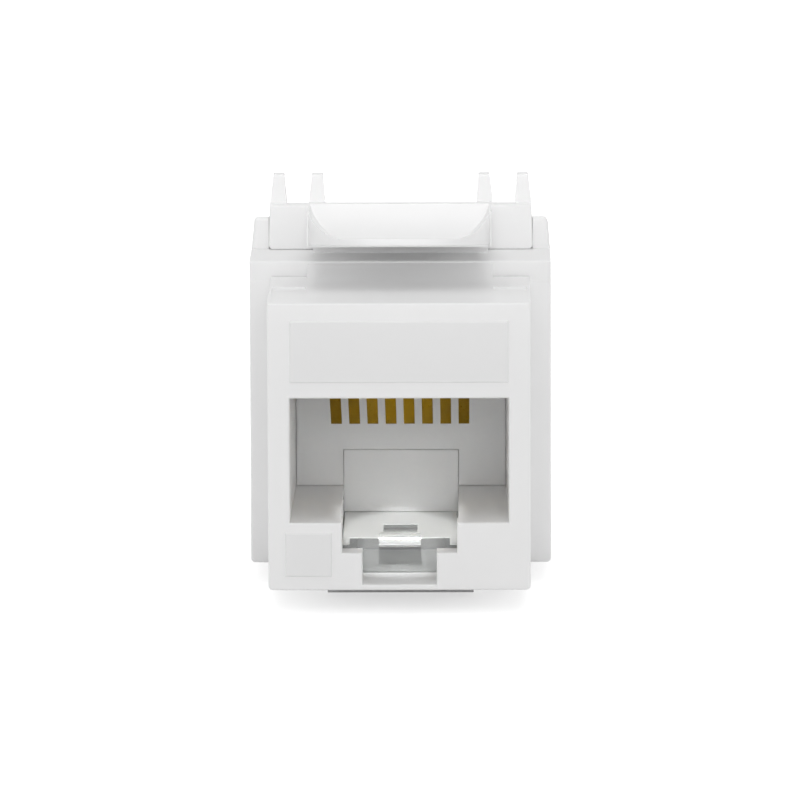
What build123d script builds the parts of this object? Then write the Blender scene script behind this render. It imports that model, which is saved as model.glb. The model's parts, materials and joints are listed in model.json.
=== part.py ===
from build123d import *
import os

# Keystone jack for eight-way modular plugs, with two upright rows of insulation-displacement
# slots behind a panel flange. All sizes are in millimetres. While the pieces are modelled,
# x runs across the jack, y runs back from the front face and z runs up from the underside of
# the front section. At the end everything moves so that the origin is under the middle of
# the base.

# Panel interface
FRONT_WIDTH = 14.5
FRONT_HEIGHT = 16.05
FLANGE_DEPTH = 9.8
PANEL_THICKNESS = 1.6
PANEL_PLAY = 0.05
HOOK_WIDTH = 8.2
HOOK_DROP = 1.43
HOOK_FLAT = 1.25
HOOK_RAMP = 2.5

# Wide body behind the panel
FLANGE_STEP = 1.225
BODY_DROP = 0.27
DECK_RISE = 0.88
DECK_LENGTH = 5.2
BAND_HEIGHT = 1.11
BAND_SETBACK = 0.12
WALL_RISE = 1.87
WALL_LEAD = 0.4
WALL_FALL = 2.1
WALL_LEAN = 0.19
WALL_THICKNESS = 1.0
LOWER_WALL = 1.75
FLOOR_THICKNESS = 1.0
FOOT_INSET = 1.575
FOOT_SETBACK = 0.2
CORE_COUNT = 4
CORE_RIB = 1.2
CORE_DEPTH = 0.75

# Plug port
FACE_THICKNESS = 1.45
PORT_WIDTH = 12.08
PORT_HEIGHT = 6.95
PORT_DRAFT = 0.1
PORT_BOTTOM = 3.79
PORT_DEPTH = 11.7
LATCH_NOTCH_WIDTH = 6.34
LATCH_NOTCH_DEPTH = 1.69
TAB_NOTCH_WIDTH = 4.1
TAB_NOTCH_DEPTH = 1.78
CHANNEL_STEP = 0.08

# Small features of the face and the top
LABEL_WIDTH = 12.1
LABEL_HEIGHT = 3.47
LABEL_DROP = 0.96
MARK_LEFT = 6.34
MARK_RIGHT = 3.72
MARK_BOTTOM = 0.77
MARK_TOP = 3.26
PAD_PROUD = 0.12
PAD_BEVEL = 0.09
SEAT_LENGTH = 6.0
SEAT_FALL = 0.13
SEAT_RIM = 0.15
LAND_WIDTH = 10.4
COVE_LENGTH = 2.9
PORT_EDGE = 0.16
CORNER = 0.25
EDGE = 0.12

# Release latch
LATCH_WIDTH = 10.25
LIP_RISE = 2.57
LIP_HEIGHT = 0.35
LIP_DEPTH = 1.2
LIP_ARCH = 0.07
THUMB_RISE = 4.48
THUMB_SLOPE = 3.0
THUMB_SAG = 0.3
THUMB_CREST = 0.75
THUMB_CORNER = 2.1
THUMB_RIM = 0.06
ARM_WIDTH = 8.0
ARM_THICKNESS = 0.9
ARM_RISE = 2.3
ROOT_POST = 0.95
ROOT_GAP = 0.25
ROOT_CLEARANCE = 0.05

# Circuit board
BOARD_THICKNESS = 1.0
BOARD_PLAY = 0.05
BOARD_HEADROOM = 0.1
BOARD_OVERHANG = 0.41

# Contact carrier, keyway tray and the cover's spine
CARRIER_ROOF = 0.5
CARRIER_LIFT = 0.11
CARRIER_WALL = 0.8
INSERT_GAP = 0.03
SPINE_PLAY = 0.02
SPINE_LIFT = 0.02
SPINE_HEIGHT = 3.53
SPINE_WALL = 1.0
TRAY_PLAY = 0.06
TRAY_STEP = 0.2
TRAY_PLATE = 0.75
TRAY_FRONT = 1.5
TRAY_NOSE = 3.6
TRAY_LEG = 0.41
TRAY_SKIRT = 0.7
TONGUE_WIDTH = 2.32
TONGUE_LENGTH = 2.1
TONGUE_RADIUS = 0.38
TONGUE_RISE = 0.19
POCKET_WIDTH = 1.9
POCKET_LENGTH = 2.6
POCKET_SETBACK = 1.6
POCKET_DEPTH = 0.2

# Contact wires
CONTACT_COUNT = 8
CONTACT_PITCH = 1.02
WIRE_WIDTH = 0.6
WIRE_THICKNESS = 0.32
WIRE_ROOT_Y = 2.4
WIRE_BEND_DROP = 0.04
WIRE_BEND_RADIUS = 0.6
WIRE_REACH = 5.02
WIRE_FALL = 2.46
WIRE_SLOT_PLAY = 0.08
WIRE_SWING = 0.6
WIRE_HOLE_LENGTH = 1.15
COMB_LENGTH = 2.4
COMB_DEPTH = 0.25

# Insulation-displacement block and its terminals
BLOCK_GAP = 0.05
BLOCK_BASE = 1.85
BLOCK_BACK_GAP = 0.35
WING_THICKNESS = 0.9
WING_LEAD = 0.4
WING_RISE = 2.53
WING_LIFT = 0.03
FENCE_RISE = 0.87
FENCE_WIDTH = 7.6
WIRE_PITCH = 2.75
WIRE_SLOT = 0.7
SLOT_RISE = 1.1
END_POST = 1.7
POST_RISES = (4.17, 1.67, 1.32, 0.92, 0.57)
POST_THICKNESS = 0.95
POST_CHANNEL = 1.23
OUTER_TAPER = 0.2
INNER_TAPER = 0.11
TAPER_HEIGHT = 1.7
TIP_LENGTH = 0.5
TIP_HEIGHT = 1.5
TIP_ROUND = 0.1
FORK_THICKNESS = 0.4
FORK_WIDTH = 2.1
FORK_HEIGHT = 3.05
FORK_SLIT = 0.3
FORK_SLIT_LIFT = 0.4
FORK_MOUTH = 1.1
FORK_MOUTH_DEPTH = 0.9
PIN_WIDTH = 0.5
PIN_TAIL = 0.55
PIN_HOLE_RADIUS = 0.45

# Rear cover and the snaps
COVER_THICKNESS = 1.5
COVER_LAP = 0.85
COVER_RIM_DEPTH = 1.5
COVER_RIM_WALL = 1.0
SNAP_LENGTH = 2.0
SNAP_HEIGHT = 1.0
SNAP_PROUD = 0.65
SNAP_PLAY = 0.12
BLOCK_SNAP_INSET = 3.5
BLOCK_SNAP_LIFT = 1.2
COVER_SNAP_Z = 5.6
COVER_SNAP_LENGTH = 0.8

# Heights worked out from the sizes above
DECK_TOP = FRONT_HEIGHT + DECK_RISE
BAND_BOTTOM = DECK_TOP - BAND_HEIGHT
WALL_TOP = DECK_TOP + WALL_RISE
LABEL_TOP = FRONT_HEIGHT - LABEL_DROP
LABEL_BOTTOM = LABEL_TOP - LABEL_HEIGHT
PORT_TOP = PORT_BOTTOM + PORT_HEIGHT
LATCH_NOTCH_BOTTOM = PORT_BOTTOM - LATCH_NOTCH_DEPTH
TAB_NOTCH_BOTTOM = LATCH_NOTCH_BOTTOM - TAB_NOTCH_DEPTH
FLOOR_TOP = FLOOR_THICKNESS - BODY_DROP
CARRIER_BOTTOM = PORT_TOP + CARRIER_LIFT
BOARD_BOTTOM = CARRIER_BOTTOM + CARRIER_ROOF
BOARD_TOP = BOARD_BOTTOM + BOARD_THICKNESS
ROOF_BOTTOM = BOARD_TOP + BOARD_HEADROOM
TRAY_TOP = LATCH_NOTCH_BOTTOM + TRAY_STEP
SPINE_BOTTOM = TRAY_TOP + SPINE_LIFT
SPINE_TOP = SPINE_BOTTOM + SPINE_HEIGHT
COVER_TOP = BOARD_BOTTOM + COVER_LAP
ARM_BOTTOM = FRONT_HEIGHT + ARM_RISE
ARM_TOP = ARM_BOTTOM + ARM_THICKNESS
ROOT_Z = ARM_BOTTOM + ARM_THICKNESS / 2
LIP_BOTTOM = FRONT_HEIGHT + LIP_RISE
THUMB_TOP = FRONT_HEIGHT + THUMB_RISE
WIRE_BEND_Z = PORT_TOP - WIRE_BEND_DROP
WIRE_END_Z = WIRE_BEND_Z - WIRE_FALL
BLOCK_FLOOR = BOARD_TOP + BLOCK_BASE
SLOT_FLOOR = BLOCK_FLOOR + SLOT_RISE
BLOCK_SNAP_Z = BLOCK_FLOOR + BLOCK_SNAP_LIFT
WING_TOP = DECK_TOP + WING_RISE
FENCE_TOP = DECK_TOP + FENCE_RISE
POST_TIPS = [DECK_TOP + rise for rise in POST_RISES]
FORK_TOP = BLOCK_FLOOR + FORK_HEIGHT
FORK_SLIT_BOTTOM = SLOT_FLOOR + FORK_SLIT_LIFT
PIN_BOTTOM = BOARD_BOTTOM - PIN_TAIL

# Places behind the front face
HOOK_BACK = FLANGE_DEPTH - PANEL_THICKNESS - PANEL_PLAY
FOOT_FRONT = FLANGE_DEPTH + FOOT_SETBACK
THUMB_SLOPE_END = HOOK_BACK - THUMB_CREST
LIP_Y = THUMB_SLOPE_END - THUMB_SLOPE
CARRIER_END = PORT_DEPTH + CARRIER_WALL
WIRE_END_Y = WIRE_ROOT_Y + WIRE_REACH
DECK_FRONT = FLANGE_DEPTH + BAND_SETBACK
DECK_END = FLANGE_DEPTH + DECK_LENGTH
WALL_START = DECK_END - WALL_LEAD
WING_FRONT = WALL_START - WING_LEAD
ROOT_Y = WING_FRONT - ROOT_GAP - ROOT_POST
BLOCK_FRONT = DECK_END + 2 * BLOCK_GAP
POST_START = BLOCK_FRONT + 2 * BLOCK_GAP
SLOT_COUNT = CONTACT_COUNT // 2
SLOT_Y = [POST_START + END_POST + WIRE_SLOT / 2 + WIRE_PITCH * n for n in range(SLOT_COUNT)]
BLOCK_END = SLOT_Y[-1] + WIRE_SLOT / 2 + END_POST
BODY_END = BLOCK_END + BLOCK_BACK_GAP
BLOCK_SNAP_Y = (BLOCK_FRONT + BLOCK_SNAP_INSET, BLOCK_END - BLOCK_SNAP_INSET)
OVERALL_DEPTH = BODY_END + COVER_THICKNESS + PAD_PROUD

# Widths and places across the jack
BODY_WIDTH = FRONT_WIDTH + 2 * FLANGE_STEP
BODY_INSIDE = BODY_WIDTH - 2 * WALL_THICKNESS
LOWER_INSIDE = BODY_WIDTH - 2 * LOWER_WALL
FOOT_WIDTH = BODY_WIDTH - 2 * FOOT_INSET
CORE_WIDTH = FOOT_WIDTH - 2 * CORE_RIB
CHANNEL_WIDTH = LATCH_NOTCH_WIDTH + 2 * CHANNEL_STEP
SPINE_WIDTH = CHANNEL_WIDTH - 2 * SPINE_PLAY
TRAY_WIDTH = CHANNEL_WIDTH - 2 * TRAY_PLAY
TRAY_NOTCH_WIDTH = TRAY_WIDTH - 2 * TRAY_LEG
BOARD_FRONT_WIDTH = PORT_WIDTH + 2 * BOARD_OVERHANG
BLOCK_WIDTH = BODY_INSIDE - 2 * BLOCK_GAP
OUTER_POST = (BLOCK_WIDTH / 2 - POST_THICKNESS, BLOCK_WIDTH / 2)
INNER_POST = (OUTER_POST[0] - POST_CHANNEL - POST_THICKNESS, OUTER_POST[0] - POST_CHANNEL)
FORK_X = (OUTER_POST[0] + INNER_POST[1]) / 2
CONTACT_X = [CONTACT_PITCH * (n - (CONTACT_COUNT - 1) / 2) for n in range(CONTACT_COUNT)]


def bar(x, y, z):
    """A rectangular block between pairs of x, y and z."""
    centre = Pos((x[0] + x[1]) / 2, (y[0] + y[1]) / 2, (z[0] + z[1]) / 2)
    return centre * Box(x[1] - x[0], y[1] - y[0], z[1] - z[0])


def middle(width, y, z):
    """A block of the given width, centred across the jack."""
    return bar((-width / 2, width / 2), y, z)


def from_side(outline, width, x=0):
    """A side view, drawn in y and z, given its width across the jack about x."""
    return Pos(x, 0, 0) * extrude(Plane.YZ * outline, width / 2, both=True)


def from_front(outline, y):
    """A front view, drawn in x and z, run back from y[0] to y[1]."""
    plane = Plane(origin=(0, y[1], 0), x_dir=(1, 0, 0), z_dir=(0, -1, 0))
    return extrude(plane * outline, y[1] - y[0])


def polygon(*points):
    """A straight-sided outline that keeps the coordinates it is given."""
    return Polygon(*points, align=None)


def across(radius, y, z, width):
    """A round bar along x."""
    return Pos(0, y, z) * Rot(0, 90, 0) * Cylinder(radius, width)


def twin(piece):
    """The piece and its mirror image on the other side of the jack."""
    return piece + mirror(piece, Plane.YZ)


def lengthways_edges(shape, z):
    """Edges of a shape that run along y at height z."""
    edges = shape.edges().filter_by(Axis.Y)
    return [edge for edge in edges if abs(edge.center().Z - z) < 1e-4]


def front_section():
    """The part that comes through the panel, with its label pads and the fixed hook."""
    section = middle(FRONT_WIDTH, (0, FLANGE_DEPTH), (0, FRONT_HEIGHT))
    section = fillet(lengthways_edges(section, 0), CORNER)
    section = fillet(section.faces().sort_by(Axis.Y)[0].edges(), EDGE)
    seat = polygon(
        (-EDGE, FRONT_HEIGHT),
        (SEAT_LENGTH, FRONT_HEIGHT - SEAT_FALL),
        (SEAT_LENGTH, FRONT_HEIGHT + SEAT_FALL),
        (-EDGE, FRONT_HEIGHT + SEAT_FALL),
    )
    seat_width = FRONT_WIDTH / 2 - SEAT_RIM - LAND_WIDTH / 2
    section -= twin(from_side(seat, seat_width, LAND_WIDTH / 2 + seat_width / 2))
    for x, z in (
        ((-LABEL_WIDTH / 2, LABEL_WIDTH / 2), (LABEL_BOTTOM, LABEL_TOP)),
        ((-MARK_LEFT, -MARK_RIGHT), (MARK_BOTTOM, MARK_TOP)),
    ):
        pad = bar(x, (-PAD_PROUD, FACE_THICKNESS / 2), z)
        section += chamfer(pad.faces().sort_by(Axis.Y)[0].edges(), PAD_BEVEL)
    hook = polygon(
        (HOOK_BACK, CORNER),
        (HOOK_BACK, -HOOK_DROP),
        (HOOK_BACK - HOOK_FLAT, -HOOK_DROP),
        (HOOK_BACK - HOOK_FLAT - HOOK_RAMP, 0),
        (HOOK_BACK - HOOK_FLAT - HOOK_RAMP, CORNER),
    )
    return section + from_side(hook, HOOK_WIDTH)


def wide_body():
    """The flange, deck, side walls, floor and foot behind the panel, still solid inside."""
    outer = BODY_WIDTH / 2
    outline = polygon(
        (-outer, -BODY_DROP),
        (outer, -BODY_DROP),
        (outer, DECK_TOP),
        (outer - WALL_LEAN, WALL_TOP),
        (WALL_LEAN - outer, WALL_TOP),
        (-outer, DECK_TOP),
    )
    body = from_front(outline, (FLANGE_DEPTH, BODY_END))
    body = fillet(lengthways_edges(body, -BODY_DROP), CORNER)
    body = fillet(body.faces().sort_by(Axis.Y)[0].edges().filter_by(Axis.Z), EDGE)
    body -= middle(2 * BODY_WIDTH, (FLANGE_DEPTH, WALL_START), (DECK_TOP, 2 * WALL_TOP))
    fall = polygon(
        (WALL_START, WALL_TOP),
        (WALL_START, 2 * WALL_TOP),
        (BODY_END, 2 * WALL_TOP),
        (BODY_END, WALL_TOP - WALL_FALL),
    )
    body -= from_side(fall, 2 * BODY_WIDTH)
    body = fillet([edge for edge in body.edges() if edge.center().Z > DECK_TOP + EDGE], CORNER)
    body -= middle(
        2 * BODY_WIDTH, (0, DECK_FRONT), (BAND_BOTTOM, 2 * WALL_TOP)
    )
    body = fillet(body.edges().filter_by(Axis.X).group_by(Axis.Y)[1].sort_by(Axis.Z)[-1], EDGE)
    body -= middle(FRONT_WIDTH, (FLANGE_DEPTH, FOOT_FRONT), (-BODY_DROP, 0))
    foot = middle(FOOT_WIDTH, (FOOT_FRONT, BODY_END), (-HOOK_DROP, 0))
    foot = fillet(foot.edges().filter_by(Axis.Z).sort_by(Axis.Y)[:2], CORNER)
    pitch = (BODY_END - FOOT_FRONT - CORE_RIB) / CORE_COUNT
    for n in range(CORE_COUNT):
        start = FOOT_FRONT + CORE_RIB + pitch * n
        foot -= middle(
            CORE_WIDTH, (start, start + pitch - CORE_RIB), (-HOOK_DROP, CORE_DEPTH - HOOK_DROP)
        )
    return body + foot


def port_space():
    """The plug port, its keyway and the chamber for the carrier and the board's front part."""
    half = PORT_WIDTH / 2
    start = -PAD_PROUD - EDGE
    plan = polygon(
        (-half, start), (half, start), (half - PORT_DRAFT, CARRIER_END), (PORT_DRAFT - half, CARRIER_END)
    )
    space = extrude(Plane((0, 0, PORT_BOTTOM)) * plan, PORT_TOP - PORT_BOTTOM)
    space += middle(PORT_WIDTH - 2 * PORT_DRAFT, (FACE_THICKNESS, CARRIER_END), (PORT_TOP, BOARD_BOTTOM))
    space += middle(LATCH_NOTCH_WIDTH, (start, FACE_THICKNESS), (LATCH_NOTCH_BOTTOM, PORT_BOTTOM))
    space += middle(TAB_NOTCH_WIDTH, (start, FACE_THICKNESS), (TAB_NOTCH_BOTTOM, PORT_BOTTOM))
    space += middle(CHANNEL_WIDTH, (FACE_THICKNESS, CARRIER_END), (TAB_NOTCH_BOTTOM, PORT_BOTTOM))
    board_room = BOARD_FRONT_WIDTH + 2 * BOARD_PLAY
    space += middle(board_room, (FACE_THICKNESS, DECK_END), (CARRIER_BOTTOM, ROOF_BOTTOM))
    return space


def rear_space():
    """The room behind the carrier and the well that takes the insulation-displacement block."""
    space = middle(LOWER_INSIDE, (CARRIER_END, BODY_END), (FLOOR_TOP, BOARD_BOTTOM))
    space += middle(CHANNEL_WIDTH, (CARRIER_END, BODY_END), (TAB_NOTCH_BOTTOM, FLOOR_TOP))
    space += middle(BODY_INSIDE, (DECK_END, BODY_END), (BOARD_BOTTOM, 2 * WALL_TOP))
    space += middle(BODY_INSIDE, (WALL_START, DECK_END), (DECK_TOP, 2 * WALL_TOP))
    return space


def latch_root():
    """The concave rise between the front section and the deck, and the post of the latch's arm."""
    start = (DECK_FRONT - COVE_LENGTH, FRONT_HEIGHT)
    end = (DECK_FRONT, DECK_TOP - EDGE)
    cove = [
        TangentArc(start, end, tangent=(1, 0)),
        Polyline(end, (DECK_FRONT, FRONT_HEIGHT - EDGE), (start[0], FRONT_HEIGHT - EDGE), start),
    ]
    root = from_side(make_face(cove), LAND_WIDTH)
    root += middle(ARM_WIDTH, (ROOT_Y, ROOT_Y + ROOT_POST), (DECK_TOP - EDGE, ARM_TOP))
    return root - across(ARM_THICKNESS / 2 + ROOT_CLEARANCE, ROOT_Y, ROOT_Z, ARM_WIDTH)


def snap_windows():
    """Windows in the side walls for the block's and the cover's snaps."""
    reach = (0, BODY_WIDTH)
    height = SNAP_HEIGHT / 2 + SNAP_PLAY
    windows = []
    for y in BLOCK_SNAP_Y:
        span = (y - SNAP_PLAY, y + SNAP_LENGTH + SNAP_PLAY)
        windows.append(bar(reach, span, (BLOCK_SNAP_Z - height, BLOCK_SNAP_Z + height)))
    start = BODY_END - COVER_RIM_DEPTH
    span = (start - SNAP_PLAY, start + COVER_SNAP_LENGTH + SNAP_PLAY)
    windows.append(bar(reach, span, (COVER_SNAP_Z - height, COVER_SNAP_Z + height)))
    return twin(windows[0] + windows[1] + windows[2])


def front_housing():
    """The main moulding: port, flange, deck, side walls and fixed hook in one piece."""
    housing = front_section() + wide_body() + latch_root() - port_space()
    face = housing.faces().filter_by(Plane.XZ).group_by(Axis.Y)[1].sort_by(SortBy.AREA)[-1]
    mouth = face.inner_wires().sort_by(SortBy.LENGTH)[-1]
    housing = fillet(mouth.edges(), PORT_EDGE)
    for space in (rear_space(), snap_windows()):
        housing -= space
    return housing


def thumb_scoop():
    """The dished hollow of the thumb pad: a curved slope with rounded lower corners."""
    lip_top = LIP_BOTTOM + LIP_HEIGHT
    front = LIP_Y - EDGE
    above = THUMB_TOP + LIP_HEIGHT
    slope = SagittaArc((LIP_Y, lip_top), (THUMB_SLOPE_END, THUMB_TOP), -THUMB_SAG)
    edges = [
        slope,
        Polyline(
            slope @ 1,
            (THUMB_SLOPE_END, above),
            (front, above),
            (front, lip_top),
            (LIP_Y, lip_top),
        ),
    ]
    side = from_side(make_face(edges), LATCH_WIDTH)
    width = LATCH_WIDTH - 2 * THUMB_RIM
    height = 2 * THUMB_CORNER + LIP_HEIGHT
    dish = Pos(0, lip_top + height / 2) * RectangleRounded(width, height, THUMB_CORNER)
    return side & from_front(dish, (front, HOOK_BACK))


def latch():
    """The spring arm that reaches forward from its root, and its dished head with the catch."""
    underside = LIP_BOTTOM - LIP_ARCH
    head = middle(LATCH_WIDTH, (LIP_Y, HOOK_BACK), (underside, THUMB_TOP))
    head = fillet(head.edges(), EDGE / 2)
    left = (-LATCH_WIDTH / 2, underside)
    right = (LATCH_WIDTH / 2, underside)
    arch = make_face([ThreePointArc(left, (0, LIP_BOTTOM), right), Line(right, left)])
    head -= thumb_scoop() + from_front(arch, (LIP_Y, LIP_Y + LIP_DEPTH))
    arm = middle(ARM_WIDTH, (LIP_Y + LIP_DEPTH, ROOT_Y), (ARM_BOTTOM, ARM_TOP))
    return head + arm + across(ARM_THICKNESS / 2, ROOT_Y, ROOT_Z, ARM_WIDTH)


def circuit_board():
    """A T-shaped board: its narrow end lies over the port, its wide end under the block."""
    level = (BOARD_BOTTOM, BOARD_TOP)
    board = middle(BOARD_FRONT_WIDTH, (FACE_THICKNESS + BOARD_HEADROOM, BLOCK_FRONT), level)
    board += middle(BLOCK_WIDTH, (BLOCK_FRONT, BLOCK_END), level)
    mid = (BOARD_BOTTOM + BOARD_TOP) / 2
    slot = SlotOverall(WIRE_HOLE_LENGTH, WIRE_WIDTH + WIRE_SLOT_PLAY, rotation=90)
    hole = extrude(slot, BOARD_THICKNESS, both=True)
    for x in CONTACT_X:
        board -= Pos(x, WIRE_ROOT_Y, mid) * hole
    for y in SLOT_Y:
        board -= twin(Pos(FORK_X, y, mid) * Cylinder(PIN_HOLE_RADIUS, 2 * BOARD_THICKNESS))
    return board


def contact_carrier():
    """The insert that closes the port's top and back and combs the contact wires apart."""
    front = FACE_THICKNESS + BOARD_HEADROOM
    carrier = middle(BOARD_FRONT_WIDTH, (front, CARRIER_END), (CARRIER_BOTTOM, BOARD_BOTTOM))
    wall_width = PORT_WIDTH - 2 * PORT_DRAFT - 2 * INSERT_GAP
    carrier += middle(wall_width, (PORT_DEPTH, CARRIER_END), (PORT_BOTTOM + INSERT_GAP, BOARD_BOTTOM))
    carrier -= middle(
        SPINE_WIDTH + 2 * INSERT_GAP, (PORT_DEPTH, CARRIER_END), (0, SPINE_TOP + INSERT_GAP)
    )
    comb_width = CONTACT_PITCH * (CONTACT_COUNT + 0.7)
    comb_z = (CARRIER_BOTTOM - COMB_DEPTH, CARRIER_BOTTOM)
    carrier += middle(comb_width, (front, front + COMB_LENGTH), comb_z)
    slot_width = WIRE_WIDTH + 2 * WIRE_SLOT_PLAY
    root = (WIRE_ROOT_Y - WIRE_THICKNESS, WIRE_ROOT_Y + WIRE_SWING + WIRE_THICKNESS)
    for x in CONTACT_X:
        side = (x - slot_width / 2, x + slot_width / 2)
        carrier -= bar(side, root, (comb_z[0], BOARD_BOTTOM))
        carrier -= bar(side, (root[0], front + COMB_LENGTH), comb_z)
    return carrier


def contact_wire(x):
    """One spring contact: a pin up into the board and an arm that slopes down and back."""
    path = FilletPolyline(
        (x, WIRE_ROOT_Y, BOARD_TOP),
        (x, WIRE_ROOT_Y, WIRE_BEND_Z),
        (x, WIRE_END_Y, WIRE_END_Z),
        radius=WIRE_BEND_RADIUS,
    )
    section = Plane((x, WIRE_ROOT_Y, BOARD_TOP)) * Rectangle(WIRE_WIDTH, WIRE_THICKNESS)
    return sweep(section, path)


def keyway_tray():
    """The clear slide that floors the keyway, with a rounded tongue between two side legs."""
    end = PORT_DEPTH + CARRIER_WALL / 2
    plate = (TRAY_TOP - TRAY_PLATE, TRAY_TOP)
    tray = middle(TRAY_WIDTH, (TRAY_FRONT, end), plate)
    tray -= middle(TRAY_NOTCH_WIDTH, (TRAY_FRONT, TRAY_NOSE), plate)
    skirt = (TRAY_NOSE - INSERT_GAP, TRAY_NOSE - INSERT_GAP + TRAY_SKIRT)
    tray += middle(TRAY_NOTCH_WIDTH, skirt, (TAB_NOTCH_BOTTOM, TRAY_TOP))
    for side in (-1, 1):
        rail = (TRAY_NOTCH_WIDTH - TRAY_SKIRT, TRAY_WIDTH)
        tray += bar(
            sorted((side * rail[0] / 2, side * rail[1] / 2)),
            (TRAY_NOSE, end),
            (TAB_NOTCH_BOTTOM, TRAY_TOP),
        )
    tip = TRAY_NOSE - TONGUE_LENGTH + TONGUE_RADIUS
    centre = TRAY_TOP + TONGUE_RISE
    tray += middle(TONGUE_WIDTH, (tip, TRAY_NOSE), (centre - TONGUE_RADIUS, TRAY_TOP))
    tray += across(TONGUE_RADIUS, tip, centre, TONGUE_WIDTH)
    pocket = (TRAY_NOSE + POCKET_SETBACK, TRAY_NOSE + POCKET_SETBACK + POCKET_LENGTH)
    tray -= middle(POCKET_WIDTH, pocket, (TRAY_TOP - POCKET_DEPTH, TRAY_TOP))
    return tray


def rounded_top(outline):
    """The outline with its upper corners rounded like the tips of the posts."""
    return fillet(outline.vertices().group_by(Axis.Y)[-1], TIP_ROUND)


def post_rows():
    """Two walls a side, cut into tapered posts with a slot for a wire between them."""
    walls = (OUTER_POST, INNER_POST)
    rows = []
    for inside, outside in walls:
        side = (inside, outside)
        rows.append(bar(side, (POST_START, BLOCK_END), (BOARD_TOP, SLOT_FLOOR)))
    starts = [POST_START] + [y + WIRE_SLOT / 2 for y in SLOT_Y]
    ends = [y - WIRE_SLOT / 2 for y in SLOT_Y] + [BLOCK_END]
    for n, (start, end, tip) in enumerate(zip(starts, ends, POST_TIPS)):
        centre = (start + end) / 2
        front_tip = centre - TIP_LENGTH / 2 if n else start
        back_tip = centre + TIP_LENGTH / 2 if n else start + 2 * TIP_LENGTH
        length = polygon(
            (start, BOARD_TOP),
            (end, BOARD_TOP),
            (end, tip - TIP_HEIGHT),
            (back_tip, tip),
            (front_tip, tip),
            (start, tip - TIP_HEIGHT if n else tip),
        )
        ridge = from_side(rounded_top(length), BODY_WIDTH)
        for inside, outside in walls:
            section = polygon(
                (inside, BOARD_TOP),
                (outside, BOARD_TOP),
                (outside, tip - TAPER_HEIGHT),
                (outside - OUTER_TAPER, tip),
                (inside + INNER_TAPER, tip),
                (inside, tip - TAPER_HEIGHT),
            )
            rows.append(from_front(rounded_top(section), (start, end)) & ridge)
    return twin(Part() + rows)


def idc_block():
    """The block of wire slots that snaps in between the side walls, over the board."""
    block = middle(BLOCK_WIDTH, (BLOCK_FRONT, BLOCK_END), (BOARD_TOP, BLOCK_FLOOR))
    wing = middle(
        BLOCK_WIDTH, (WING_FRONT, WALL_START + WING_THICKNESS), (DECK_TOP + WING_LIFT, WING_TOP)
    )
    wing = fillet(lengthways_edges(wing, DECK_TOP + WING_LIFT), CORNER)
    wing = fillet(wing.faces().sort_by(Axis.Y)[0].edges(), EDGE)
    wing += middle(
        BLOCK_WIDTH, (BLOCK_FRONT, WALL_START + WING_THICKNESS), (BOARD_TOP, WING_TOP - CORNER)
    )
    wing -= middle(FENCE_WIDTH, (WING_FRONT, BLOCK_END), (FENCE_TOP, 2 * WALL_TOP))
    block += wing + post_rows()
    lift = (BLOCK_SNAP_Z - SNAP_HEIGHT / 2, BLOCK_SNAP_Z + SNAP_HEIGHT / 2)
    half = BLOCK_WIDTH / 2
    for y in BLOCK_SNAP_Y:
        snap = polygon(
            (half - CORNER, lift[0]),
            (half, lift[0]),
            (half + SNAP_PROUD, lift[1]),
            (half - CORNER, lift[1]),
        )
        block += twin(from_front(snap, (y, y + SNAP_LENGTH)))
    for y in SLOT_Y:
        room = PIN_WIDTH / 2 + SNAP_PLAY
        side = (FORK_X - FORK_THICKNESS / 2 - SNAP_PLAY, FORK_X + FORK_THICKNESS / 2 + SNAP_PLAY)
        block -= twin(bar(side, (y - room, y + room), (BOARD_TOP, BLOCK_FLOOR)))
    return block


def idc_terminal(side, y):
    """A forked terminal: two tines with a slit between them, on a pin through the board."""
    half = FORK_WIDTH / 2
    shoulder = FORK_TOP - FORK_MOUTH_DEPTH
    fork = polygon(
        (-half, BLOCK_FLOOR),
        (half, BLOCK_FLOOR),
        (half, shoulder),
        (FORK_MOUTH / 2, FORK_TOP),
        (-FORK_MOUTH / 2, FORK_TOP),
        (-half, shoulder),
    )
    mouth = polygon(
        (-FORK_MOUTH / 2, FORK_TOP), (FORK_MOUTH / 2, FORK_TOP), (0, FORK_TOP - FORK_MOUTH_DEPTH)
    )
    slit_height = FORK_TOP - FORK_SLIT_BOTTOM
    slit = Pos(0, FORK_SLIT_BOTTOM + slit_height / 2) * Rectangle(FORK_SLIT, slit_height)
    slit += Pos(0, FORK_SLIT_BOTTOM) * Circle(FORK_SLIT / 2)
    pin_height = BLOCK_FLOOR - PIN_BOTTOM
    pin = Pos(0, PIN_BOTTOM + pin_height / 2) * Rectangle(PIN_WIDTH, pin_height)
    return Pos(0, y, 0) * from_side(fork - mouth - slit + pin, FORK_THICKNESS, side * FORK_X)


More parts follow.
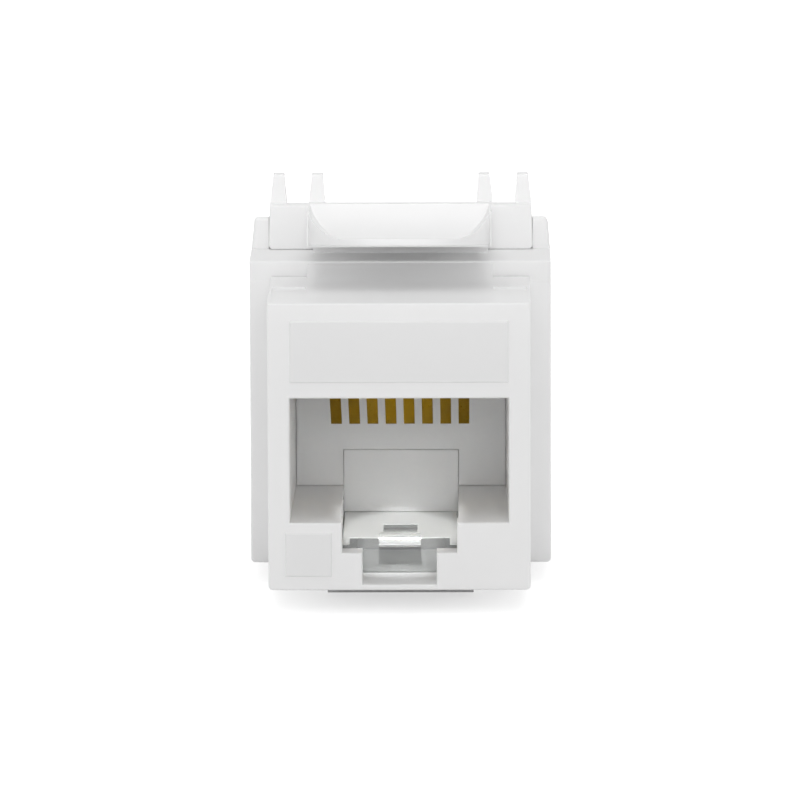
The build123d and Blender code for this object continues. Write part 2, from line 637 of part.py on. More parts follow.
def rear_cover():
    """The plate that closes the back, with a rim, two snaps and the spine under the board."""
    cover = middle(BODY_WIDTH, (BODY_END, BODY_END + COVER_THICKNESS), (-BODY_DROP, COVER_TOP))
    cover += middle(FOOT_WIDTH, (BODY_END, BODY_END + COVER_THICKNESS), (-HOOK_DROP, 0))
    cover = chamfer(cover.faces().sort_by(Axis.Y)[-1].edges(), 2 * EDGE)
    rim_width = LOWER_INSIDE - 2 * INSERT_GAP
    rim_y = (BODY_END - COVER_RIM_DEPTH, BODY_END)
    cover += middle(rim_width, rim_y, (FLOOR_TOP + INSERT_GAP, PIN_BOTTOM - INSERT_GAP))
    cover -= middle(
        rim_width - 2 * COVER_RIM_WALL,
        rim_y,
        (FLOOR_TOP + INSERT_GAP + COVER_RIM_WALL, PIN_BOTTOM - INSERT_GAP - COVER_RIM_WALL),
    )
    half = rim_width / 2
    snap = Plane((0, 0, COVER_SNAP_Z - SNAP_HEIGHT / 2)) * polygon(
        (half - CORNER, rim_y[0]),
        (half, rim_y[0]),
        (half + SNAP_PROUD, rim_y[0] + COVER_SNAP_LENGTH),
        (half - CORNER, rim_y[0] + COVER_SNAP_LENGTH),
    )
    cover += twin(extrude(snap, SNAP_HEIGHT))
    spine = middle(SPINE_WIDTH, (PORT_DEPTH, BODY_END), (SPINE_BOTTOM, SPINE_TOP))
    spine -= middle(
        SPINE_WIDTH - 2 * SPINE_WALL,
        (PORT_DEPTH + 2 * SPINE_WALL, BODY_END - SPINE_WALL),
        (SPINE_BOTTOM, SPINE_TOP - SPINE_WALL),
    )
    return cover + spine


pieces = {
    "front_housing": front_housing(),
    "latch": latch(),
    "contact_carrier": contact_carrier(),
    "circuit_board": circuit_board(),
    "keyway_tray": keyway_tray(),
    "idc_block": idc_block(),
    "rear_cover": rear_cover(),
}
for number, x in enumerate(CONTACT_X, 1):
    pieces[f"contact_wire_{number}"] = contact_wire(x)
for number, (side, y) in enumerate([(side, y) for side in (-1, 1) for y in SLOT_Y], 1):
    pieces[f"idc_terminal_{number}"] = idc_terminal(side, y)

os.makedirs("parts", exist_ok=True)
to_base = Pos(0, PAD_PROUD - OVERALL_DEPTH / 2, HOOK_DROP)
for name, piece in pieces.items():
    export_step(to_base * piece, f"parts/{name}.step")
print(f"depth {OVERALL_DEPTH:.2f}, {len(pieces)} pieces")
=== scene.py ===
"""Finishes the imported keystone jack: smooth skins, a few forms, materials and its studio."""

import json
import math

import bmesh
import bpy
from bpy.props import FloatProperty, FloatVectorProperty, PointerProperty
from mathutils import Matrix, Vector

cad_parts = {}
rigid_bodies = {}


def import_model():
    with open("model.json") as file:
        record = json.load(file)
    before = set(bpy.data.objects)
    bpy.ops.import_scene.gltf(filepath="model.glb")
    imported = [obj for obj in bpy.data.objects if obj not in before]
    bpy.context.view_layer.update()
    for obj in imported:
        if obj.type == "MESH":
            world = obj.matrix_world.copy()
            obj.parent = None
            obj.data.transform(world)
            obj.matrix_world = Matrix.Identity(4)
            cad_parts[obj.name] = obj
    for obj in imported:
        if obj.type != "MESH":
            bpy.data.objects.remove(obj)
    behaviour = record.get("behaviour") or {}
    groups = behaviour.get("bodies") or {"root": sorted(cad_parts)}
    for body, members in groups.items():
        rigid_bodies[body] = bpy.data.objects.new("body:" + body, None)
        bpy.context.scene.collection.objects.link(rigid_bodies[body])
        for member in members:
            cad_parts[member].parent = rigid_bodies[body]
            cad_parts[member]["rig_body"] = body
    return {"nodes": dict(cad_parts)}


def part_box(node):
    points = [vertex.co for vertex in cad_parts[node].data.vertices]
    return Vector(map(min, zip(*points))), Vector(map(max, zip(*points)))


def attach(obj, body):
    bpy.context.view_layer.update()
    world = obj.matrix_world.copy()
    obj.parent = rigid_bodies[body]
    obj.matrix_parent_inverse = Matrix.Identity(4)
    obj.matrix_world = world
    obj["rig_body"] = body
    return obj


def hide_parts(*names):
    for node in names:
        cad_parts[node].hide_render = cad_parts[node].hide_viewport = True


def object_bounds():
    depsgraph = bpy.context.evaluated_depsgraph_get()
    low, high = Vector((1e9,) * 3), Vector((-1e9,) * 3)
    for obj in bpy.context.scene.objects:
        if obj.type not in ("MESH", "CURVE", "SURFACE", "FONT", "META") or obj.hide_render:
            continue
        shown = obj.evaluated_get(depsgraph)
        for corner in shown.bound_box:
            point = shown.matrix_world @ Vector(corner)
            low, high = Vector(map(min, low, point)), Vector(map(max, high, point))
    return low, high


bl_info = {
    "name": "Keystone Jack Finisher",
    "version": (1, 0, 0),
    "blender": (4, 5, 0),
    "location": "3D View > Sidebar > Keystone Jack",
    "description": "Smooths and shapes a keystone jack, gives it its materials and sets its studio",
    "category": "Object",
}

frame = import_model()
CAD_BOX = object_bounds()
MM = 0.001

HOUSING, LATCH, CARRIER = "front_housing", "latch", "contact_carrier"
BLOCK, COVER, TRAY, BOARD = "idc_block", "rear_cover", "keyway_tray", "circuit_board"
WIRES = [f"contact_wire_{number}" for number in range(1, 9)]
TERMINALS = [f"idc_terminal_{number}" for number in range(1, 9)]
JOIN_DISTANCE = 0.0001 * MM
FLAT_ANGLE = math.radians(0.5)

# The plane of the front face, and a level between it and the fronts of its raised pads
PAD_HEIGHT = 0.12 * MM
FRONT_FACE_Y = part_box(HOUSING)[0].y + PAD_HEIGHT
PAD_LEVEL = FRONT_FACE_Y - 0.05 * MM

# The latch's head, its arm and the post that holds the arm's root
HEAD_LOW, HEAD_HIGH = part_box(LATCH)
HEAD_FRONT = HEAD_LOW.y + 0.06 * MM
CHEEK_X = 5.045 * MM
CHEEK_STEP = 0.005 * MM
CHEEK_SLACK = 0.001 * MM
DISH_RADIUS = 2.1 * MM
DISH_CENTRE = Vector((2.965 * MM, 0, HEAD_HIGH.z + 0.54 * MM))
FALL_START, FALL_SPAN = 1.0 * MM, 3.4 * MM
ARM_START = HEAD_LOW.y + MM
ARM_SIDE, SIDE_SLACK = 4.0 * MM, 0.01 * MM
POST_FRONT, POST_BACK = HEAD_HIGH.y - 0.5 * MM, HEAD_HIGH.y + 0.55 * MM
POST_BOTTOM = HEAD_HIGH.z - 3.65 * MM

# The punch-down block's front wings
WING_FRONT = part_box(BLOCK)[0].y
WING_BACK = WING_FRONT + 1.25 * MM
WING_LEAD = WING_FRONT + 0.35 * MM
WING_TOP = HEAD_HIGH.z - 1.02 * MM
WING_SIDE_TOP = WING_TOP - 0.3 * MM
WING_FOOT_TOP = WING_TOP - 2.2 * MM
WING_SIDE = 7.1 * MM

# The clear tray's flat top lies between these heights, and its tongue above them
TRAY_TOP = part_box(TRAY)[1].z - 0.57 * MM
TRAY_SKIN = 0.03 * MM

# The studio: each lamp's place, target, size in metres and beam in degrees
JACK_MIDDLE = (0, 0, 0.01)
OVER_JACK = (0, FRONT_FACE_Y, 0.034)
LAMPS = {
    "top": ((0, -0.03, 0.24), JACK_MIDDLE, 0.2, 180),
    "upper": ((0, -0.20, 0.06), OVER_JACK, 0.02, 8),
    "front": ((0.03, -0.30, 0.14), JACK_MIDDLE, 0.16, 180),
    "left": ((-0.22, -0.1, 0.1), JACK_MIDDLE, 0.14, 180),
    "right": ((0.22, -0.1, 0.1), JACK_MIDDLE, 0.14, 180),
}
PORT_MIDDLE = Vector((0, FRONT_FACE_Y, 7.5 * MM))
PORT_LAMP_OFFSET = Vector((0, -0.123, 0.086))
PORT_LAMP_RADIUS = 0.5 * MM
PORT_LAMP_BLEND = 0.3
FLOOR_SIZE = 4
SENSOR_MM = 36
CLIP = (0.01, 10)


class KeystonePlastic(bpy.types.PropertyGroup):
    """Colour and surface of the white mouldings."""

    color: FloatVectorProperty(
        name="Colour", description="Colour of the white plastic", subtype="COLOR", size=3,
        min=0, max=1, default=(0.9, 0.9, 0.9))
    carrier_color: FloatVectorProperty(
        name="Carrier colour", description="Colour of the insert behind and over the port",
        subtype="COLOR", size=3, min=0, max=1, default=(0.9, 0.9, 0.9))
    pad_color: FloatVectorProperty(
        name="Pad colour", description="Colour of the two matte label pads", subtype="COLOR",
        size=3, min=0, max=1, default=(0.84, 0.84, 0.84))
    roughness: FloatProperty(
        name="Roughness", description="Roughness of the white plastic", min=0, max=1, default=0.42)
    grain: FloatProperty(
        name="Grain size", description="Size of the mould's fine grain", unit="LENGTH",
        min=0, default=0.09 * MM)
    crease: FloatProperty(
        name="Crease", description="Faces that turn by less are shaded as one surface",
        subtype="ANGLE", min=0, default=math.radians(32))


class KeystoneMetal(bpy.types.PropertyGroup):
    """Finish of the contacts and terminals."""

    gold: FloatVectorProperty(
        name="Gold", description="Colour of the plated contacts", subtype="COLOR", size=3,
        min=0, max=1, default=(0.39, 0.28, 0.10))
    tin: FloatVectorProperty(
        name="Tin", description="Colour of the plated terminals", subtype="COLOR", size=3,
        min=0, max=1, default=(0.62, 0.62, 0.60))
    roughness: FloatProperty(
        name="Roughness", description="Roughness of the plating", min=0, max=1, default=0.3)
    crease: FloatProperty(
        name="Crease", description="Faces that turn by less are shaded as one surface",
        subtype="ANGLE", min=0, default=math.radians(32))


class KeystoneInsert(bpy.types.PropertyGroup):
    """Finish of the clear tray and the circuit board."""

    clear: FloatVectorProperty(
        name="Clear tint", description="Tint of the clear tray", subtype="COLOR", size=3,
        min=0, max=1, default=(0.93, 0.95, 0.94))
    clear_roughness: FloatProperty(
        name="Clear roughness", description="Roughness of the clear tray", min=0, max=1,
        default=0.08)
    solder_mask: FloatVectorProperty(
        name="Solder mask", description="Colour of the board", subtype="COLOR", size=3,
        min=0, max=1, default=(0.02, 0.16, 0.06))
    crease: FloatProperty(
        name="Crease", description="Faces that turn by less are shaded as one surface",
        subtype="ANGLE", min=0, default=math.radians(32))


class KeystoneStage(bpy.types.PropertyGroup):
    """Camera, floor and lamps."""

    distance: FloatProperty(
        name="Distance", description="From the camera to the front face", unit="LENGTH",
        min=0, default=0.45)
    elevation: FloatProperty(
        name="Elevation", description="How far the camera looks down", subtype="ANGLE",
        default=math.radians(9.5))
    azimuth: FloatProperty(
        name="Azimuth", description="How far the camera stands to the right", subtype="ANGLE",
        default=math.radians(0.5))
    roll: FloatProperty(
        name="Roll", description="Tilt of the picture", subtype="ANGLE", default=math.radians(0.2))
    lens: FloatProperty(name="Lens", description="Focal length in mm", min=1, default=367.7)
    aim: FloatVectorProperty(
        name="Aim", description="The point at the middle of the picture", size=3, unit="LENGTH",
        default=(0.055 * MM, FRONT_FACE_Y, 12.10 * MM))
    floor_color: FloatVectorProperty(
        name="Floor", description="Colour of the floor and backdrop", subtype="COLOR", size=3,
        min=0, max=1, default=(0.9, 0.9, 0.9))
    floor_lift: FloatProperty(
        name="Floor lift", description="Light the floor sends to the camera alone", min=0, max=1,
        default=0.52)
    white_reach: FloatProperty(
        name="White reach", description="Distance from the jack at which the floor is white",
        unit="LENGTH", min=0, default=20 * MM)
    ambient: FloatProperty(
        name="Ambient", description="Level of the light from all round", min=0, default=0.53)
    top_power: FloatProperty(
        name="Top lamp", description="Power of the overhead lamp in watts", min=0, default=0.125)
    upper_power: FloatProperty(
        name="Upper lamp", description="Power of the narrow lamp on the upper part in watts",
        min=0, default=0.0005)
    front_power: FloatProperty(
        name="Front lamp", description="Power of the lamp beside the camera in watts",
        min=0, default=0.14)
    left_power: FloatProperty(
        name="Left lamp", description="Power of the lamp on the left in watts",
        min=0, default=0.045)
    right_power: FloatProperty(
        name="Right lamp", description="Power of the lamp on the right in watts",
        min=0, default=0.025)
    port_power: FloatProperty(
        name="Port lamp", description="Power of the narrow lamp that shines into the port in watts",
        min=0, default=0.95)
    port_beam: FloatProperty(
        name="Port beam", description="Width of the port lamp's beam where it enters",
        unit="LENGTH", min=0, default=7.2 * MM)


class KeystoneForms(bpy.types.PropertyGroup):
    """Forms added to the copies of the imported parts."""

    corner_fall: FloatProperty(
        name="Corner fall",
        description="How steeply the latch head's front falls back outside its dish",
        min=0, default=0.75)
    arm_reach: FloatProperty(
        name="Arm reach",
        description="How far each side of the latch's arm and of its post is widened",
        unit="LENGTH", min=0, default=0.95 * MM)
    cut_step: FloatProperty(
        name="Cut step", description="Width of the strips in which the head's front is shaped",
        unit="LENGTH", min=0, default=0.12 * MM)
    wing_reach: FloatProperty(
        name="Wing reach",
        description="How far the block's wings are widened towards the side walls",
        unit="LENGTH", min=0, default=0.045 * MM)
    wing_drop: FloatProperty(
        name="Wing drop", description="How far the wings are lowered towards the deck",
        unit="LENGTH", min=0, default=0.025 * MM)


def head_cuts(bottom, step):
    """Planes, as a point and a normal each, that divide the head's front into small fields.

    Across, they run from the cheeks to just past the start of the fall.
    """
    columns = int((CHEEK_X - FALL_START) / step) + 2
    rows = int((HEAD_HIGH.z - bottom) / step)
    places = [side * (CHEEK_X - step * number) for number in range(columns) for side in (-1, 1)]
    places += [side * (CHEEK_X + CHEEK_STEP) for side in (-1, 1)]
    cuts = [((place, 0, 0), (1, 0, 0)) for place in places]
    return cuts + [((0, 0, bottom + step * number), (0, 0, 1)) for number in range(1, rows)]


def head_corners(skin, forms):
    """Lets the head's front fall back below and beside its dish, inside thin cheeks."""
    bottom = min(vert.co.z for vert in skin.verts if vert.co.y < HEAD_FRONT)
    for place, normal in head_cuts(bottom, forms.cut_step):
        faces = [
            face for face in skin.faces if all(vert.co.y < HEAD_FRONT for vert in face.verts)]
        edges = {edge for face in faces for edge in face.edges}
        verts = {vert for face in faces for vert in face.verts}
        bmesh.ops.bisect_plane(
            skin, geom=[*faces, *edges, *verts], dist=JOIN_DISTANCE,
            plane_co=place, plane_no=normal)
    for vert in skin.verts:
        across = abs(vert.co.x)
        if vert.co.y > HEAD_FRONT or across > CHEEK_X + CHEEK_SLACK:
            continue
        beside, below = max(across - DISH_CENTRE.x, 0), DISH_CENTRE.z - vert.co.z
        beyond = max(math.hypot(beside, below) - DISH_RADIUS, 0)
        outward = min(max((across - FALL_START) / FALL_SPAN, 0), 1)
        vert.co.y += beyond * forms.corner_fall * outward * outward * (3 - 2 * outward)


def widen(skin, reach, start, end, bottom):
    """Moves the arm's or its post's two sides outwards, between two depths and above a height."""
    for vert in skin.verts:
        on_side = abs(abs(vert.co.x) - ARM_SIDE) < SIDE_SLACK
        if on_side and start < vert.co.y < end and vert.co.z > bottom:
            vert.co.x += math.copysign(reach, vert.co.x)


def head_and_arm(skin, forms):
    """Widens the latch's arm to nearly the head's width and shapes the head."""
    widen(skin, forms.arm_reach, ARM_START, POST_BACK, 0)
    head_corners(skin, forms)


def root_post(skin, forms):
    """Widens the post on the deck that holds the arm's root."""
    widen(skin, forms.arm_reach, POST_FRONT, POST_BACK, POST_BOTTOM)


def wing_sides(skin, forms):
    """Brings the block's front wings up to the side walls and down to the deck."""
    for vert in skin.verts:
        if vert.co.y < WING_BACK and vert.co.z < WING_TOP:
            if abs(vert.co.x) > WING_SIDE and vert.co.z < WING_SIDE_TOP:
                vert.co.x += math.copysign(forms.wing_reach, vert.co.x)
            if vert.co.z < WING_FOOT_TOP and vert.co.y < WING_LEAD:
                vert.co.z -= forms.wing_drop


def joined_copy(node, crease, reshape=None, forms=None):
    """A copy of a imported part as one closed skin, smooth where its faces turn less than crease.

    The latch's front keeps its triangles, because it is cut up when it is shaped.
    """
    source = frame["nodes"][node]
    skin = bmesh.new()
    skin.from_mesh(source.data)
    bmesh.ops.remove_doubles(skin, verts=skin.verts, dist=JOIN_DISTANCE)
    start = HEAD_FRONT if node == LATCH else -math.inf
    bmesh.ops.dissolve_limit(
        skin, angle_limit=FLAT_ANGLE, verts=[vert for vert in skin.verts if vert.co.y > start],
        edges=[edge for edge in skin.edges if max(vert.co.y for vert in edge.verts) > start],
        use_dissolve_boundaries=False, delimit=set())
    if reshape:
        reshape(skin, forms)
    for face in skin.faces:
        face.smooth = True
    for edge in skin.edges:
        edge.smooth = edge.calc_face_angle(math.pi) < crease
    mesh = bpy.data.meshes.new(f"{node}_skin")
    skin.to_mesh(mesh)
    skin.free()
    piece = bpy.data.objects.new(f"{node}_skin", mesh)
    bpy.context.scene.collection.objects.link(piece)
    normals = piece.modifiers.new("Even shading", "WEIGHTED_NORMAL")
    normals.weight = 100
    normals.keep_sharp = True
    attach(piece, source["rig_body"])
    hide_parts(node)
    return piece


def dress(piece, material):
    """Gives a piece one material all over."""
    piece.data.materials.clear()
    piece.data.materials.append(material)


class Recipe:
    """A node material under construction, with its Principled shader and object coordinates."""

    def __init__(self, name):
        self.material = bpy.data.materials.new(name)
        self.material.use_nodes = True
        self.tree = self.material.node_tree
        self.tree.nodes.clear()
        self.shader = self.node("ShaderNodeBsdfPrincipled")
        self.output = self.node("ShaderNodeOutputMaterial")
        self.link(self.shader.outputs["BSDF"], self.output.inputs["Surface"])
        self.place = self.node("ShaderNodeTexCoord").outputs["Object"]

    def node(self, kind, **values):
        """A new node, with the attributes and inputs that are given by name."""
        made = self.tree.nodes.new(kind)
        for key, value in values.items():
            if key in made.bl_rna.properties:
                setattr(made, key, value)
            else:
                made.inputs[key.replace("_", " ")].default_value = value
        return made

    def link(self, source, target):
        """Joins an output to an input."""
        self.tree.links.new(source, target)

    def noise(self, size, detail=3.0, stretch=(1, 1, 1)):
        """Noise whose features are about that size, in metres."""
        mapping = self.node("ShaderNodeMapping")
        mapping.inputs["Scale"].default_value = stretch
        self.link(self.place, mapping.inputs["Vector"])
        made = self.node("ShaderNodeTexNoise", Scale=1 / size, Detail=detail)
        self.link(mapping.outputs["Vector"], made.inputs["Vector"])
        return made.outputs["Fac"]

    def spread(self, value, low, high):
        """A 0 to 1 value brought to a range."""
        made = self.node("ShaderNodeMapRange", To_Min=low, To_Max=high)
        self.link(value, made.inputs["Value"])
        return made.outputs["Result"]

    def shade(self, value, low, high):
        """A colour between two, by a 0 to 1 value."""
        made = self.node("ShaderNodeMix", data_type="RGBA")
        made.inputs["A"].default_value = (*low, 1)
        made.inputs["B"].default_value = (*high, 1)
        self.link(value, made.inputs["Factor"])
        return made.outputs["Result"]

    def beyond(self, axis, level, operation="GREATER_THAN"):
        """1 where an object coordinate is above a level (below it by LESS_THAN), else 0."""
        parts = self.node("ShaderNodeSeparateXYZ")
        self.link(self.place, parts.inputs["Vector"])
        made = self.node("ShaderNodeMath", operation=operation)
        self.link(parts.outputs[axis], made.inputs[0])
        made.inputs[1].default_value = level
        return made.outputs["Value"]

    def bump(self, value, depth, strength=1.0):
        """Bump of the given depth, in metres."""
        made = self.node("ShaderNodeBump", Strength=strength, Distance=depth)
        self.link(value, made.inputs["Height"])
        self.link(made.outputs["Normal"], self.shader.inputs["Normal"])

    def set(self, **values):
        """Values that are the same all over, set on the shader itself."""
        for key, value in values.items():
            self.shader.inputs[key.replace("_", " ")].default_value = value


def tinted(color, factor):
    """A colour made a little lighter or darker."""
    return tuple(min(1, channel * factor) for channel in color)


def moulded_plastic(name, color, roughness, grain, pad_color=None):
    """White plastic with a fine moulded grain; pads that stand proud of the face take their own
    colour.
    """
    made = Recipe(name)
    mottle = made.noise(2.2 * MM)
    tone = made.shade(mottle, tinted(color, 0.985), tinted(color, 1.01))
    sheen = made.spread(made.noise(0.7 * MM), roughness - 0.04, roughness + 0.04)
    if pad_color:
        proud = made.beyond("Y", PAD_LEVEL, "LESS_THAN")
        matte = made.node("ShaderNodeMix", data_type="RGBA")
        made.link(proud, matte.inputs["Factor"])
        made.link(tone, matte.inputs["A"])
        matte.inputs["B"].default_value = (*pad_color, 1)
        tone = matte.outputs["Result"]
    made.link(tone, made.shader.inputs["Base Color"])
    made.link(sheen, made.shader.inputs["Roughness"])
    made.bump(made.noise(grain, detail=2.0), 2.5e-6, strength=0.35)
    made.set(IOR=1.53, Subsurface_Weight=0.12, Subsurface_Radius=(0.4, 0.4, 0.4),
             Subsurface_Scale=1 * MM)
    return made.material


def plated_metal(name, color, roughness, streak):
    """Plated spring metal with faint lines along its length."""
    made = Recipe(name)
    worn = made.noise(0.5 * MM)
    tone = made.shade(worn, tinted(color, 0.93), tinted(color, 1.05))
    made.link(tone, made.shader.inputs["Base Color"])
    lines = made.noise(0.05 * MM, detail=2.0, stretch=streak)
    sheen = made.spread(lines, roughness - 0.08, roughness + 0.08)
    made.link(sheen, made.shader.inputs["Roughness"])
    made.bump(lines, 1.5e-6, strength=0.4)
    made.set(Metallic=1.0, Specular_Tint=(*tinted(color, 1.5), 1))
    return made.material


def clear_plastic(name, color, roughness):
    """Clear plastic with slight flow lines, milky on its flat top."""
    made = Recipe(name)
    flow = made.noise(0.9 * MM, stretch=(1, 0.3, 1))
    made.link(made.shade(flow, tinted(color, 0.97), color), made.shader.inputs["Base Color"])
    sheen = made.spread(flow, roughness - 0.03, roughness + 0.05)
    made.link(sheen, made.shader.inputs["Roughness"])
    made.bump(flow, 8e-6, strength=0.25)
    upper = made.beyond("Z", TRAY_TOP - TRAY_SKIN)
    tongue = made.beyond("Z", TRAY_TOP + TRAY_SKIN)
    clearness = made.node("ShaderNodeMath", operation="ADD")
    made.link(made.spread(upper, 0.8, 0.12), clearness.inputs[0])
    made.link(made.spread(tongue, 0.0, 0.6), clearness.inputs[1])
    made.link(clearness.outputs["Value"], made.shader.inputs["Transmission Weight"])
    made.set(IOR=1.58)
    return made.material


def board_laminate(name, color):
    """Solder mask over glass laminate, with a faint weave."""
    made = Recipe(name)
    weave = made.node("ShaderNodeTexBrick", Scale=1 / (1.2 * MM), Mortar_Size=0.12)
    made.link(made.place, weave.inputs["Vector"])
    tone = made.shade(weave.outputs["Fac"], color, tinted(color, 1.6))
    made.link(tone, made.shader.inputs["Base Color"])
    made.link(made.spread(made.noise(0.4 * MM), 0.25, 0.4), made.shader.inputs["Roughness"])
    made.bump(weave.outputs["Fac"], 4e-6, strength=0.3)
    return made.material


class KEYSTONE_OT_mouldings(bpy.types.Operator):
    """Smooth and shape the white mouldings and give them their plastic"""

    bl_idname = "keystone.mouldings"
    bl_label = "Finish Mouldings"

    def execute(self, context):
        plastic = context.scene.keystone_plastic
        white = dict(roughness=plastic.roughness, grain=plastic.grain)
        finishes = {
            HOUSING: moulded_plastic(
                "Housing plastic", plastic.color, pad_color=plastic.pad_color, **white),
            LATCH: moulded_plastic("Latch plastic", plastic.color, **white),
            BLOCK: moulded_plastic("Block plastic", plastic.color, **white),
            COVER: moulded_plastic("Cover plastic", plastic.color, **white),
            CARRIER: moulded_plastic("Carrier plastic", plastic.carrier_color, **white),
        }
        forms = context.scene.keystone_forms
        shapes = {HOUSING: root_post, LATCH: head_and_arm, BLOCK: wing_sides}
        for node, material in finishes.items():
            dress(joined_copy(node, plastic.crease, shapes.get(node), forms), material)
        return {"FINISHED"}


class KEYSTONE_OT_contacts(bpy.types.Operator):
    """Plate the contact wires and the terminals"""

    bl_idname = "keystone.contacts"
    bl_label = "Finish Contacts"

    def execute(self, context):
        metal = context.scene.keystone_metal
        gold = plated_metal("Gold plating", metal.gold, metal.roughness, (1, 0.08, 0.08))
        tin = plated_metal("Tin plating", metal.tin, metal.roughness, (1, 1, 0.08))
        for node in WIRES:
            dress(joined_copy(node, metal.crease), gold)
        for node in TERMINALS:
            dress(joined_copy(node, metal.crease), tin)
        return {"FINISHED"}


class KEYSTONE_OT_inserts(bpy.types.Operator):
    """Finish the clear tray and the circuit board"""

    bl_idname = "keystone.inserts"
    bl_label = "Finish Tray and Board"

    def execute(self, context):
        insert = context.scene.keystone_insert
        clear = clear_plastic("Clear plastic", insert.clear, insert.clear_roughness)
        dress(joined_copy(TRAY, insert.crease), clear)
        laminate = board_laminate("Board laminate", insert.solder_mask)
        dress(joined_copy(BOARD, insert.crease), laminate)
        return {"FINISHED"}


def put_lamp(data, place, target):
    """Puts a lamp in its place, points it at its target and keeps it out of the picture."""
    made = bpy.data.objects.new(data.name, data)
    bpy.context.scene.collection.objects.link(made)
    made.location = place
    made.rotation_euler = (Vector(target) - made.location).to_track_quat("-Z", "Y").to_euler()
    made.visible_camera = False


def port_lamp(power, beam):
    """A narrow beam through the port's mouth onto the clear tray, clear of the face around it."""
    data = bpy.data.lights.new("port_lamp", "SPOT")
    data.energy = power
    data.spot_size = 2 * math.atan(beam / 2 / PORT_LAMP_OFFSET.length)
    data.spot_blend = PORT_LAMP_BLEND
    data.shadow_soft_size = PORT_LAMP_RADIUS
    put_lamp(data, PORT_MIDDLE + PORT_LAMP_OFFSET, PORT_MIDDLE)


def lamp(name, place, target, size, spread, power):
    """A square lamp with a beam of some degrees."""
    data = bpy.data.lights.new(f"{name}_lamp", "AREA")
    data.size = size
    data.spread = math.radians(spread)
    data.energy = power
    put_lamp(data, place, target)


def seen_light(tree, strength_all, strength_seen):
    """Light Path value: one strength for rays that show the surface, another for the rest."""
    path = tree.nodes.new("ShaderNodeLightPath")
    total = path.outputs["Is Camera Ray"]
    for name in ("Is Glossy Ray", "Is Transmission Ray"):
        add = tree.nodes.new("ShaderNodeMath")
        add.operation = "MAXIMUM"
        tree.links.new(total, add.inputs[0])
        tree.links.new(path.outputs[name], add.inputs[1])
        total = add.outputs["Value"]
    made = tree.nodes.new("ShaderNodeMapRange")
    made.inputs["To Min"].default_value = strength_all
    made.inputs["To Max"].default_value = strength_seen
    tree.links.new(total, made.inputs["Value"])
    return made.outputs["Result"]


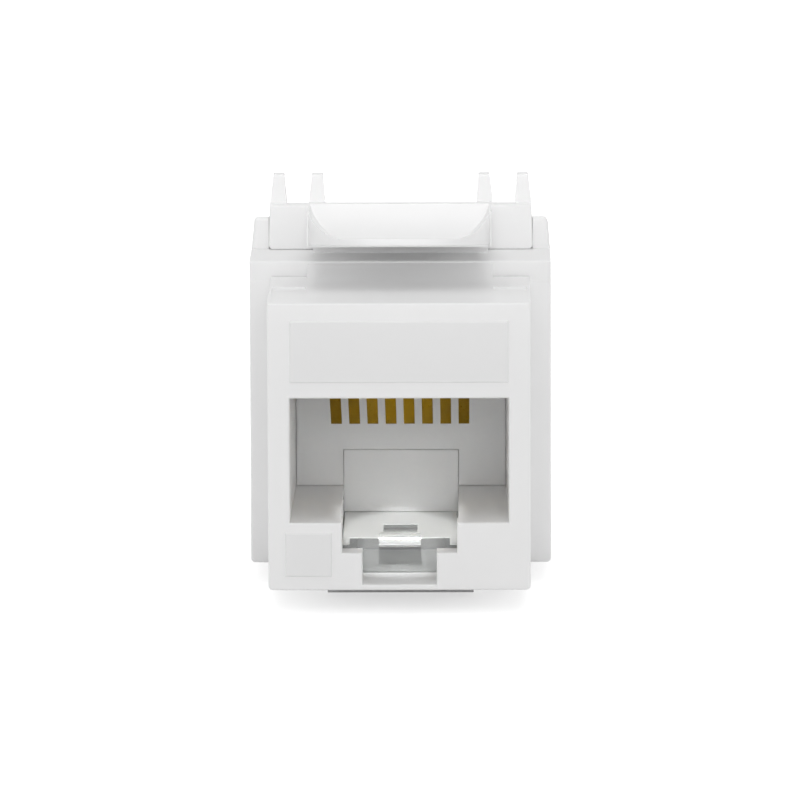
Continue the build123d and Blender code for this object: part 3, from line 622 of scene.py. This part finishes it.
class KEYSTONE_OT_stage(bpy.types.Operator):
    """Set the floor, the lamps and the camera"""

    bl_idname = "keystone.stage"
    bl_label = "Set Studio"

    def execute(self, context):
        stage = context.scene.keystone_stage
        self.floor(stage)
        self.world(context.scene, stage)
        for name, (place, target, size, spread) in LAMPS.items():
            lamp(name, place, target, size, spread, getattr(stage, f"{name}_power"))
        port_lamp(stage.port_power, stage.port_beam)
        self.camera(context.scene, stage)
        return {"FINISHED"}

    def floor(self, stage):
        """A plain floor that reads white to the camera and keeps the jack's shadow."""
        bpy.ops.mesh.primitive_plane_add(size=FLOOR_SIZE, location=(0, 0, 0))
        floor = bpy.context.object
        floor.name = "Floor"
        made = Recipe("Floor paint")
        tone = made.shade(
            made.noise(20 * MM), tinted(stage.floor_color, 0.995), stage.floor_color)
        made.link(tone, made.shader.inputs["Base Color"])
        made.set(Roughness=0.9, Emission_Color=(1, 1, 1, 1))
        seen = seen_light(made.tree, 0.0, 1.0)
        lift = made.node("ShaderNodeMath", operation="MULTIPLY")
        made.link(seen, lift.inputs[0])
        made.link(self.distance_lift(made, stage), lift.inputs[1])
        made.link(lift.outputs["Value"], made.shader.inputs["Emission Strength"])
        dress(floor, made.material)

    def distance_lift(self, made, stage):
        """From floor_lift under the jack to full white some way out from its outline."""
        outline = made.node("ShaderNodeVectorMath", operation="ABSOLUTE")
        made.link(made.place, outline.inputs[0])
        beyond = made.node("ShaderNodeVectorMath", operation="SUBTRACT")
        made.link(outline.outputs["Vector"], beyond.inputs[0])
        beyond.inputs[1].default_value = CAD_BOX[1]
        outside = made.node("ShaderNodeVectorMath", operation="MAXIMUM")
        made.link(beyond.outputs["Vector"], outside.inputs[0])
        away = made.node("ShaderNodeVectorMath", operation="LENGTH")
        made.link(outside.outputs["Vector"], away.inputs[0])
        rise = made.node(
            "ShaderNodeMapRange", From_Max=stage.white_reach, To_Min=stage.floor_lift)
        made.link(away.outputs["Value"], rise.inputs["Value"])
        return rise.outputs["Result"]

    def world(self, scene, stage):
        """Even light from all round, white where it is seen."""
        world = bpy.data.worlds.new("Studio")
        world.use_nodes = True
        background = world.node_tree.nodes["Background"]
        background.inputs["Color"].default_value = (1, 1, 1, 1)
        world.node_tree.links.new(
            seen_light(world.node_tree, stage.ambient, 1.0), background.inputs["Strength"])
        scene.world = world
        scene.view_settings.view_transform = "Standard"

    def camera(self, scene, stage):
        """The photograph's view: a long lens, a little above and to the right."""
        data = bpy.data.cameras.new("Camera")
        data.sensor_width = SENSOR_MM
        data.lens = stage.lens
        data.clip_start, data.clip_end = CLIP
        camera = bpy.data.objects.new("Camera", data)
        scene.collection.objects.link(camera)
        away = Vector((
            math.sin(stage.azimuth) * math.cos(stage.elevation),
            -math.cos(stage.azimuth) * math.cos(stage.elevation),
            math.sin(stage.elevation),
        ))
        turn = (-away).to_track_quat("-Z", "Y").to_matrix().to_4x4()
        place = Matrix.Translation(Vector(stage.aim) + away * stage.distance)
        camera.matrix_world = place @ turn @ Matrix.Rotation(-stage.roll, 4, "Z")
        scene.camera = camera


GROUPS = {
    "keystone_plastic": KeystonePlastic,
    "keystone_metal": KeystoneMetal,
    "keystone_insert": KeystoneInsert,
    "keystone_forms": KeystoneForms,
    "keystone_stage": KeystoneStage,
}
OPERATORS = (KEYSTONE_OT_mouldings, KEYSTONE_OT_contacts, KEYSTONE_OT_inserts, KEYSTONE_OT_stage)


class KEYSTONE_PT_panel(bpy.types.Panel):
    """Lists the finishing steps with their sizes and colours"""

    bl_idname = "KEYSTONE_PT_panel"
    bl_label = "Keystone Jack"
    bl_space_type = "VIEW_3D"
    bl_region_type = "UI"
    bl_category = "Keystone Jack"

    def draw(self, context):
        for attribute, group in GROUPS.items():
            box = self.layout.box()
            for name in group.__annotations__:
                box.prop(getattr(context.scene, attribute), name)
        for operator in OPERATORS:
            self.layout.operator(operator.bl_idname)


CLASSES = (*GROUPS.values(), *OPERATORS, KEYSTONE_PT_panel)


def register():
    """Adds the classes and the scene's settings."""
    for cls in CLASSES:
        bpy.utils.register_class(cls)
    for attribute, group in GROUPS.items():
        setattr(bpy.types.Scene, attribute, PointerProperty(type=group))


def unregister():
    """Takes them away again."""
    for attribute in GROUPS:
        delattr(bpy.types.Scene, attribute)
    for cls in reversed(CLASSES):
        bpy.utils.unregister_class(cls)


def main():
    """Runs each step in order."""
    register()
    bpy.ops.keystone.mouldings()
    bpy.ops.keystone.contacts()
    bpy.ops.keystone.inserts()
    bpy.ops.keystone.stage()


if __name__ == "__main__":
    main()
